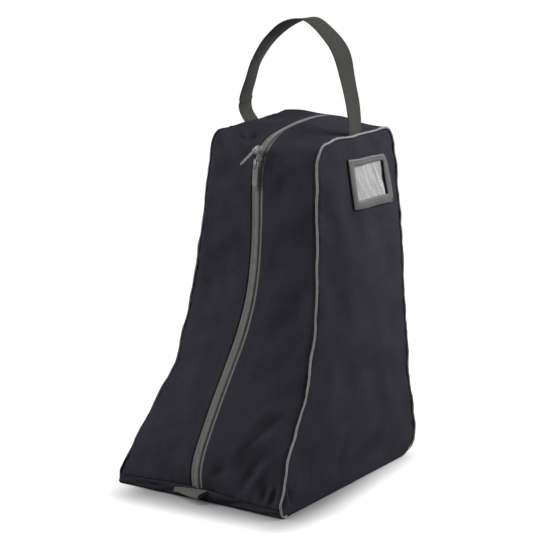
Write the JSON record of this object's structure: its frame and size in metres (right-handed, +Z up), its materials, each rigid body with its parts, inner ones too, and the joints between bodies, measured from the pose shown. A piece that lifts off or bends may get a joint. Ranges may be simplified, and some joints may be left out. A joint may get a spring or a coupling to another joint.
{
  "type": "boot bag",
  "caption": "Tall toe-shaped fabric boot bag with a two-slider zip over the front and top, piped side panels, webbing handle and a clear card pocket.",
  "frame": {"origin": "middle of the base on the ground, centred between the end tab's tip and the back panel", "axes": "+Z up along the leg, -Y towards the toe and the front zip, +X towards the side with the card pocket"},
  "size_m": [0.2468, 0.3502, 0.569],
  "materials": {
    "body_fabric": "satin woven polyester",
    "base_fabric": "coated woven polyester",
    "base_board": "matte sheet",
    "piping": "matte woven tape over cord",
    "binding": "matte",
    "zip_tape": "matte knitted tape",
    "zip_coil": "satin coil",
    "slider_metal": "satin",
    "bright_metal": "brushed",
    "pull_grip": "matte",
    "end_tab": "matte grosgrain",
    "webbing": "matte woven webbing",
    "pocket_frame": "matte vinyl",
    "window_film": "clear film",
    "name_card": "matte"
  },
  "bodies": {
    "bag": {"right_side_panel": "body_fabric", "left_side_panel": "body_fabric", "right_gusset": "body_fabric", "left_gusset": "body_fabric", "back_panel": "body_fabric", "base_panel": "base_fabric", "base_board": "base_board", "right_piping": "piping", "left_piping": "piping", "right_seam_binding": "binding", "left_seam_binding": "binding", "right_zip_tape": "zip_tape", "left_zip_tape": "zip_tape", "right_zip_coil": "zip_coil", "left_zip_coil": "zip_coil", "zip_end_stops": "bright_metal", "right_handle_tail": "webbing", "left_handle_tail": "webbing", "pocket_frame": "pocket_frame", "pocket_window": "window_film"},
    "lower_slider": {"lower_slider_body": "slider_metal", "lower_slider_bridge": "bright_metal"},
    "lower_pull": {"lower_pull_link": "bright_metal", "lower_pull_grip": "pull_grip"},
    "upper_slider": {"upper_slider_body": "slider_metal", "upper_slider_bridge": "bright_metal"},
    "upper_pull": {"upper_pull_link": "bright_metal", "upper_pull_grip": "pull_grip"},
    "end_tab": {"zip_end_tab": "end_tab"},
    "handle": {"handle_strap": "webbing"},
    "card": {"name_card": "name_card"}
  },
  "joints": [
    {"name": "lower_slider_run", "type": "hinge", "parent": "bag", "child": "lower_slider", "pos_m": [0, -0.3429, 0.35], "axis": [-1, 0, 0], "range_deg": [0, 46.5]},
    {"name": "lower_pull_swing", "type": "hinge", "parent": "lower_slider", "child": "lower_pull", "pos_m": [0, -0.03331, 0.40191], "axis": [-1, 0, 0], "range_deg": [-8, 95]},
    {"name": "upper_slider_run", "type": "hinge", "parent": "bag", "child": "upper_slider", "pos_m": [0, 0.0791, 0.2197], "axis": [-1, 0, 0], "range_deg": [0, 43]},
    {"name": "upper_pull_swing", "type": "hinge", "parent": "upper_slider", "child": "upper_pull", "pos_m": [0, -0.02223, 0.42407], "axis": [-0.9848, 0.1562, 0.0758], "range_deg": [0, 150]},
    {"name": "handle_swing", "type": "hinge", "parent": "bag", "child": "handle", "pos_m": [0, 0.0731, 0.44705], "axis": [1, 0, 0], "range_deg": [-70, 70]},
    {"name": "card_slide", "type": "slide", "parent": "bag", "child": "card", "axis": [-0.0298, 0.999, -0.0347], "range_m": [0, 0.075]},
    {"name": "end_tab_flap", "type": "hinge", "parent": "bag", "child": "end_tab", "pos_m": [-0.008, -0.1615, 0.013], "axis": [1, 0, 0], "range_deg": [-70, 12]}
  ]
}
